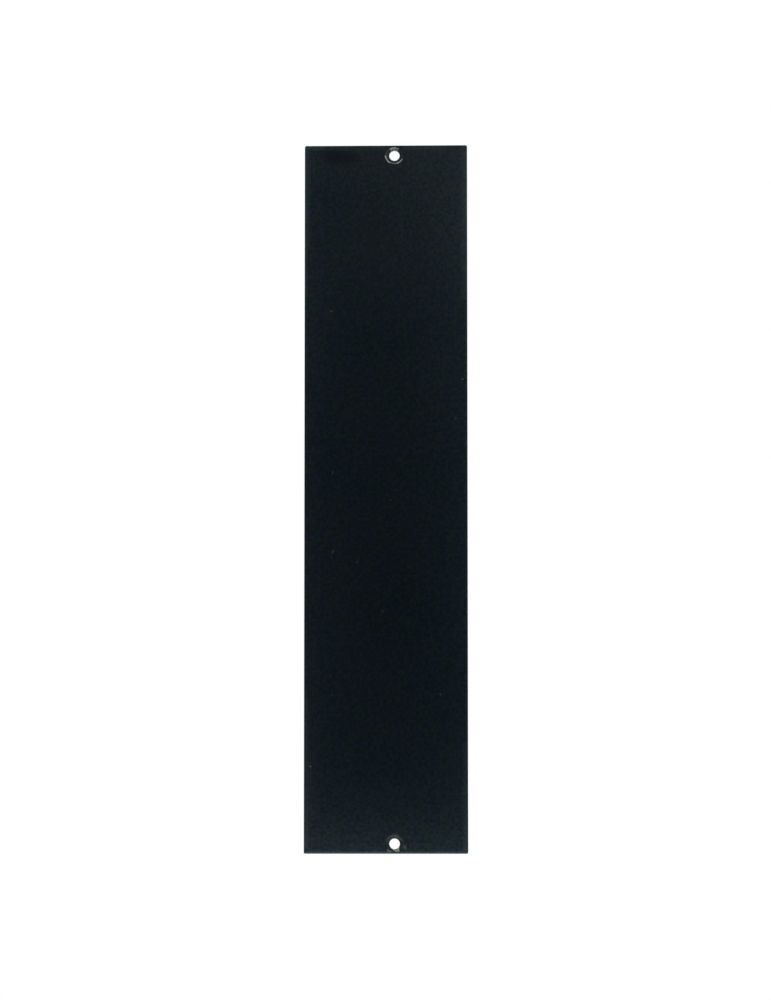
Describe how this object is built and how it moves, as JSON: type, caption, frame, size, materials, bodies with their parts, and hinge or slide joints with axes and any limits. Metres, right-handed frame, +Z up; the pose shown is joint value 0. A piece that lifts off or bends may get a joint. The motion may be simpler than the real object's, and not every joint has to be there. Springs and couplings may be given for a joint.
{
  "type": "blank cover plate",
  "caption": "Flat rectangular blanking plate in black-coated sheet metal, with countersunk screw holes close to its short ends.",
  "frame": {"origin": "centre of the flat back face, where the plate lies against what it is screwed to", "axes": "+Z up along the long side, -Y out of the coated front face, +X to the right seen from the front, the side that both holes are set towards"},
  "size_m": [0.05, 0.0026, 0.2174],
  "materials": {
    "bare_metal": "bare mill-finish aluminium sheet with a fine rolling grain",
    "black_coating": "thin satin black powder coat, faintly blue, with a fine orange-peel texture"
  },
  "bodies": {
    "root": {"metal_sheet": "bare_metal", "black_coating": "black_coating"}
  },
  "joints": []
}
